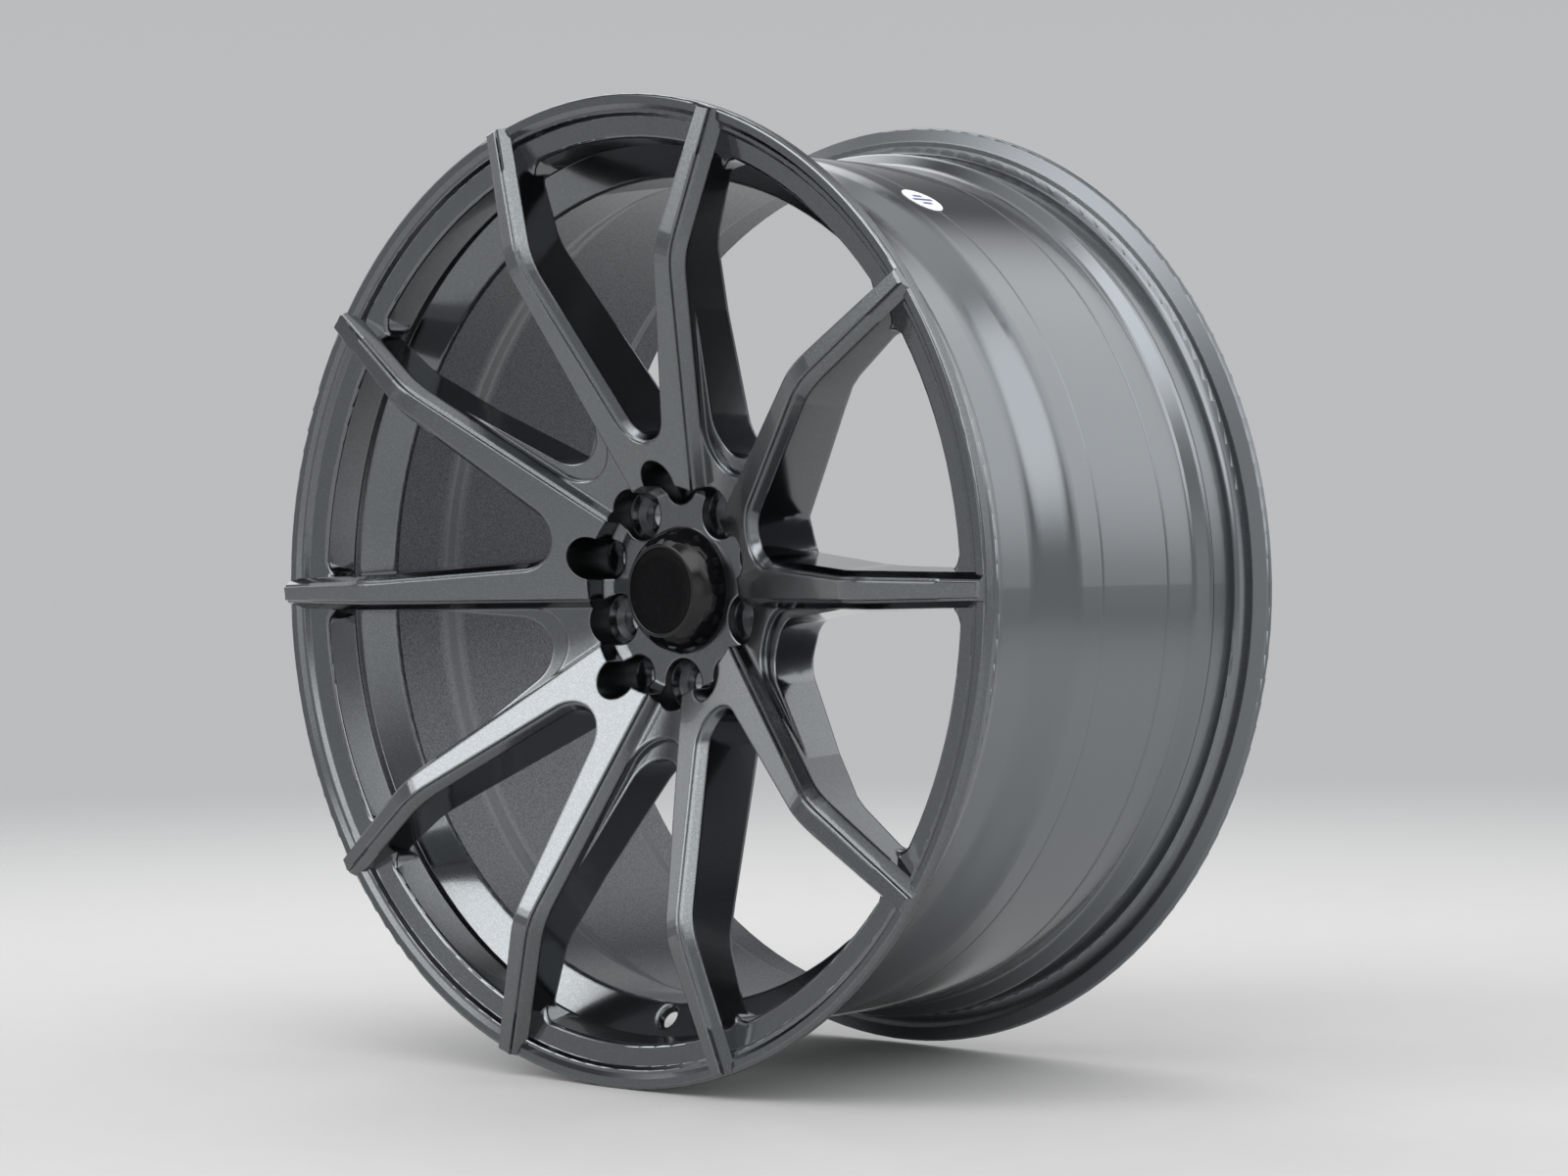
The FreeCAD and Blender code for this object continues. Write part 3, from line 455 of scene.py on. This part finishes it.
def gloss_black(name, colour, swell, gloss):
    """A gloss plastic of this colour, with swells of this height."""
    material, start, shader = new_finish(name, Specular_IOR_Level=gloss)
    place = Place(start)
    dust = noise(place, DUST_SIZE, 6.0)
    specks = (dust * noise(place, SPECK_SIZE, 2.0)).step(*SPECKS)
    wave = noise(place, SWELL_SIZE, 0.0)
    pale = tuple(3.0 * c + 0.005 for c in colour[:3]) + (1.0,)
    base = (specks * SPECK_SHARE).blend(colour, pale)
    rough = POLISH + specks * SPECK_ROUGHNESS + dust * DUST_ROUGHNESS
    bumped = start.node("Bump", sockets={"Height": wave * swell, "Distance": 1.0, "Strength": 1.0})
    feed(shader, Base_Color=base, Roughness=rough, Normal=bumped)
    return material


CAP_BLACK = (0.006, 0.006, 0.007, 1.0)
BADGE_BLACK = (0.002, 0.002, 0.0025, 1.0)
CAP_GLOSS = 0.42
BADGE_GLOSS = 0.1
CAP_SWELL = 0.012 * MM
BADGE_SWELL = 0.008 * MM
cap_plastic = gloss_black("cap_gloss_black", CAP_BLACK, CAP_SWELL, CAP_GLOSS)
badge_plastic = gloss_black("badge_gloss_black", BADGE_BLACK, BADGE_SWELL, BADGE_GLOSS)
dress("centre_cap", cap_plastic)
dress("cap_badge", badge_plastic)

# %% [markdown]
# ## Spring wire
#
# The ring behind the cap is drawn steel wire. Drawing leaves fine lines along the wire, which
# here run round the axle. They could be modelled as scratches, but they are finer than any mesh,
# so noise that is stretched round the axle draws them.

# %% Drawn wire
WIRE_DARK = (0.42, 0.42, 0.43, 1.0)
WIRE_PALE = (0.62, 0.62, 0.63, 1.0)
LINE_SIZE = 0.11 * MM
LINE_HEIGHT = 0.01 * MM
LINES_ROUND = 3.0
WIRE_ROUGHNESS = 0.26
LINE_ROUGHNESS = 0.2


def drawn_wire():
    """The finish of the spring ring."""
    material, start, shader = new_finish("drawn_wire", Metallic=1.0)
    place = Place(start)
    along = {0: place.angle * LINES_ROUND, 1: place.y / LINE_SIZE, 2: place.radius / LINE_SIZE}
    along = start.node("CombineXYZ", sockets=along)
    lines = start.node("TexNoise", sockets={"Vector": along, "Scale": 1.0, "Detail": 3.0})
    base = lines.blend(WIRE_DARK, WIRE_PALE)
    bumped = start.node("Bump", sockets={"Height": lines * LINE_HEIGHT, "Distance": 1.0})
    feed(shader, Base_Color=base, Roughness=WIRE_ROUGHNESS + lines * LINE_ROUGHNESS, Normal=bumped)
    return material


dress("cap_spring_ring", drawn_wire())

# %% [markdown]
# ## Paper sticker
#
# The sticker is white paper with blue print. The print is plain bars, one long between two
# short, drawn in the sticker's own two directions: along the axle and round the barrel. It could
# be an image or thin shapes on the paper. Masks need neither, and the sticker's own box says
# where their middle is.

# %% White paper with blue bars
sticker_low, sticker_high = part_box("inspection_sticker")
PAPER = (0.86, 0.87, 0.89, 1.0)
INK = (0.05, 0.07, 0.22, 1.0)
STICKER_MIDDLE = (sticker_low + sticker_high) / 2
STICKER_ANGLE = math.atan2(STICKER_MIDDLE.z, STICKER_MIDDLE.x)
STICKER_RADIUS = math.hypot(STICKER_MIDDLE.x, STICKER_MIDDLE.z)
FIBRE_SIZE = 0.38 * MM
FIBRE_HEIGHT = 0.02 * MM
INK_FADE = 0.12 * MM
INK_COVER = 0.85
PAPER_ROUGHNESS = 0.42
FIBRE_ROUGHNESS = 0.15
INK_ROUGHNESS = 0.05
BAR_HALF_WIDTH = 1.1 * MM
BARS = ((4.2 * MM, 3.4 * MM), (0.0, 7.4 * MM), (-4.2 * MM, 3.4 * MM))


def printed_paper():
    """The finish of the sticker."""
    material, start, shader = new_finish("printed_paper", Specular_IOR_Level=0.35)
    place = Place(start)
    across = (place.angle - STICKER_ANGLE) * STICKER_RADIUS
    along = place.y - STICKER_MIDDLE.y
    fibre = noise(place, FIBRE_SIZE, 4.0)
    ink = None
    for height, half_length in BARS:
        row = abs(across - height).step(BAR_HALF_WIDTH + INK_FADE, BAR_HALF_WIDTH)
        bar = row * abs(along).step(half_length + INK_FADE, half_length)
        ink = bar if ink is None else ink.sum("MAXIMUM", bar)
    paper = fibre.blend(PAPER, tuple(0.93 * c for c in PAPER[:3]) + (1.0,))
    base = (ink * (INK_COVER + fibre * (1 - INK_COVER))).blend(paper, INK)
    rough = PAPER_ROUGHNESS + fibre * FIBRE_ROUGHNESS + ink * INK_ROUGHNESS
    bumped = start.node("Bump", sockets={"Height": fibre * FIBRE_HEIGHT, "Distance": 1.0})
    feed(shader, Base_Color=base, Roughness=rough, Normal=bumped)
    return material


dress("inspection_sticker", printed_paper())

# %% [markdown]
# ## Floor
#
# The wheel stands on its two flanges on a plain pale floor. A backdrop that bends up behind it
# would also give a pale background, but only from one side. A flat square that fades to clear
# with distance meets the pale room from every side.

# %% Pale floor
FLOOR_DARK = (0.56, 0.56, 0.556, 1.0)
FLOOR_PALE = (0.59, 0.59, 0.586, 1.0)
FLOOR_GRAIN = 25 * MM
FLOOR_ROUGHNESS = 0.6
GRAIN_ROUGHNESS = 0.1
FLOOR_REACH = 4.0
FADE_START = 0.6
FADE_END = 2.8


def pale_floor():
    """The floor's finish, which turns clear with distance."""
    material, start, shader = new_finish("pale_floor", Specular_IOR_Level=0.2)
    place = Place(start)
    away = (place.x * place.x + place.y * place.y) ** 0.5
    fade = away.step(FADE_START, FADE_END)
    solid = Signal(start.tree, shader.outputs[0])
    clear = start.node("BsdfTransparent")
    mixed = start.node("MixShader", sockets={0: fade, 1: solid, 2: clear})
    output = next(node for node in start.tree.nodes if node.type == "OUTPUT_MATERIAL")
    start.tree.links.new(mixed.socket, output.inputs[0])
    grain = noise(place, FLOOR_GRAIN, 5.0)
    rough = FLOOR_ROUGHNESS + grain * GRAIN_ROUGHNESS
    feed(shader, Base_Color=grain.blend(FLOOR_DARK, FLOOR_PALE), Roughness=rough)
    return material


def lay_floor():
    """One square under the wheel, at the height that the wheel stands on."""
    corners = [(sx * FLOOR_REACH, sy * FLOOR_REACH) for sx, sy in ((-1, -1), (1, -1), (1, 1), (-1, 1))]
    mesh = bpy.data.meshes.new("floor")
    mesh.from_pydata([(x, y, cad_low.z) for x, y in corners], [], [(0, 1, 2, 3)])
    mesh.materials.append(pale_floor())
    floor = bpy.data.objects.new("floor", mesh)
    bpy.context.scene.collection.objects.link(floor)
    return floor


print("floor at", round(lay_floor().data.vertices[0].co.z, 4))

# %% [markdown]
# ## Studio light
#
# Metal shows what stands round it, so the light is the room itself: a pale horizon, a dimmer
# ceiling and eight large soft glows. Lamps would do, but a smooth room has no hard lamp edges,
# which this gloss would show. The glows in front light the lower spokes, the bevels and the rings
# of the lip, those at the right and the back draw the bright band up the barrel, those at the left
# run along the upper edges of the spokes, and the one overhead picks out the rear flange.

# %% Room with soft glows
HORIZON = (0.50, 0.506, 0.515, 1.0)
CEILING = (0.17, 0.175, 0.182, 1.0)
CEILING_RISE = (0.12, 0.5)
GLOWS = (
    # azimuth, elevation, radius of the full part, radius of the whole, radiance
    (-23.0, 33.0, 9.0, 27.0, 3.8),
    (32.0, 52.0, 10.0, 28.0, 2.8),
    (34.0, 4.0, 10.0, 30.0, 1.0),
    (86.0, 40.0, 12.0, 34.0, 2.2),
    (154.0, 34.0, 14.0, 42.0, 1.5),
    (-118.0, 42.0, 8.0, 28.0, 2.0),
    (-82.0, 22.0, 6.0, 24.0, 1.2),
    (160.0, 84.0, 10.0, 30.0, 1.0),
)


def toward(azimuth, elevation):
    """Unit vector from the wheel to a stand at these angles in degrees."""
    a = math.radians(azimuth)
    e = math.radians(elevation)
    return Vector((math.sin(a) * math.cos(e), -math.cos(a) * math.cos(e), math.sin(e)))


def studio_world():
    """The room as the world's light. Gives the number of its glows."""
    world = bpy.data.worlds.new("studio")
    bpy.context.scene.world = world
    world.use_nodes = True
    world.node_tree.nodes.clear()
    start = Signal(world.node_tree)
    outward = start.node("TexCoord", out="Generated")
    height = outward.parts()[2]
    colour = height.step(*CEILING_RISE).blend(HORIZON, CEILING)
    for azimuth, elevation, inner, outer, radiance in GLOWS:
        sockets = {0: outward, 1: toward(azimuth, elevation)}
        share = start.node("VectorMath", {"operation": "DOT_PRODUCT"}, sockets, out="Value")
        glow = share.step(math.cos(math.radians(outer)), math.cos(math.radians(inner)))
        colour = glow.blend(colour, (radiance, radiance, radiance, 1.0))
    light = start.node("Background", sockets={"Color": colour, "Strength": 1.0})
    output = world.node_tree.nodes.new("ShaderNodeOutputWorld")
    world.node_tree.links.new(light.socket, output.inputs[0])
    return len(GLOWS)


print("glows:", studio_world())

# %% [markdown]
# ## Camera
#
# The camera stands to the right of the street side at the height of the hub, with a long lens.
# Its place is given by an angle round the wheel, a height angle and a distance from the middle
# of the front lip. It looks a little to one side of that point and leans by less than a degree.
# A constraint could aim it at the wheel, but it couldn't lean it, so its matrix is worked out here.

# %% Camera of the main view
LIP_FRONT = Vector((0.0, -82.55 * MM, 0.0))
STAND_AZIMUTH = 46.112
STAND_ELEVATION = 0.518
STAND_DISTANCE = 1.9958
LOOK_AZIMUTH = 43.443
LOOK_ELEVATION = 0.496
LEAN = -0.816
LENS = 87.89
SENSOR_WIDTH = 36.0

lens = bpy.data.cameras.new("main_view")
lens.lens = LENS
lens.sensor_width = SENSOR_WIDTH
camera = bpy.data.objects.new("main_view", lens)
bpy.context.scene.collection.objects.link(camera)
stand = LIP_FRONT + toward(STAND_AZIMUTH, STAND_ELEVATION) * STAND_DISTANCE
turn = (-toward(LOOK_AZIMUTH, LOOK_ELEVATION)).to_track_quat("-Z", "Y").to_matrix()
turn = turn @ Matrix.Rotation(math.radians(LEAN), 3, "Z")
camera.matrix_world = Matrix.Translation(stand) @ turn.to_4x4()
bpy.context.scene.camera = camera
bpy.context.scene.view_settings.view_transform = "Standard"
print("camera at", [round(v, 4) for v in camera.location])

# %% [markdown]
# ## Finish
#
# The looks must not change the size. The box of the pieces is printed when they are loaded,
# before any finish goes on.
